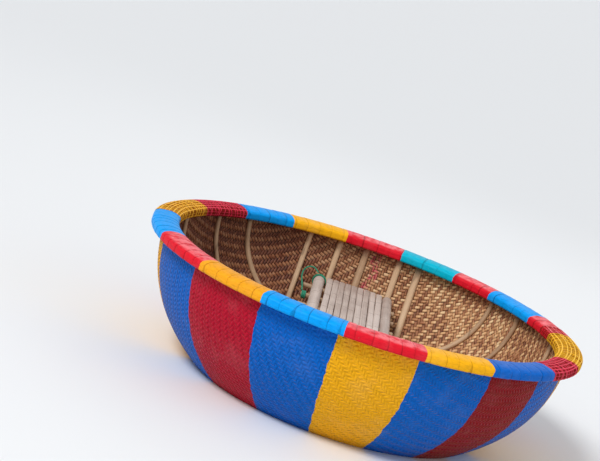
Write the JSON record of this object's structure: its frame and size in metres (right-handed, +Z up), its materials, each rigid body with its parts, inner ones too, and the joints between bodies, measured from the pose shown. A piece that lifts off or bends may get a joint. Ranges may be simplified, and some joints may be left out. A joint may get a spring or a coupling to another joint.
{
  "type": "round woven bamboo basket boat",
  "caption": "Round basket boat woven of split bamboo, with a thick lashed and painted rim, crossing ribs, a slatted bench and a rope loop.",
  "frame": {"origin": "centre of the flat underside, on the ground", "axes": "+Z up; the bench lies along Y, turned 2.4 degrees, and the rope loop is at its +Y end"},
  "size_m": [2.105, 2.105, 0.7212],
  "materials": {
    "woven_bamboo": "weathered",
    "split_bamboo": "weathered",
    "bench_bamboo": "weathered",
    "painted_rim": "painted, worn",
    "lashing": "painted over",
    "rope": "laid rope"
  },
  "bodies": {
    "root": {"bench_rail_left": "bench_bamboo", "bench_rail_right": "bench_bamboo", "bench_rung_1": "bench_bamboo", "bench_rung_2": "bench_bamboo", "bench_rung_3": "bench_bamboo", "bench_rung_4": "bench_bamboo", "bench_rung_5": "bench_bamboo", "bench_rung_6": "bench_bamboo", "bench_rung_7": "bench_bamboo", "bench_slat_1": "bench_bamboo", "bench_slat_2": "bench_bamboo", "bench_slat_3": "bench_bamboo", "bench_slat_4": "bench_bamboo", "bench_slat_5": "bench_bamboo", "bench_slat_6": "bench_bamboo", "bench_slat_7": "bench_bamboo", "bench_slat_8": "bench_bamboo", "bench_slat_9": "bench_bamboo", "cross_rib_1": "split_bamboo", "cross_rib_2": "split_bamboo", "cross_rib_3": "split_bamboo", "cross_rib_4": "split_bamboo", "cross_rib_5": "split_bamboo", "cross_rib_6": "split_bamboo", "long_rib_1": "split_bamboo", "long_rib_2": "split_bamboo", "long_rib_3": "split_bamboo", "long_rib_4": "split_bamboo", "long_rib_5": "split_bamboo", "rim_inner_band_lower": "painted_rim", "rim_inner_band_upper": "painted_rim", "rim_inner_hoop_1": "painted_rim", "rim_lashings": "lashing", "rim_outer_band_lower": "painted_rim", "rim_outer_band_upper": "painted_rim", "rim_outer_hoop_1": "painted_rim", "rope_knot_rail": "rope", "rope_knot_rung": "rope", "rope_loop": "rope", "woven_hull": "woven_bamboo"}
  },
  "joints": []
}
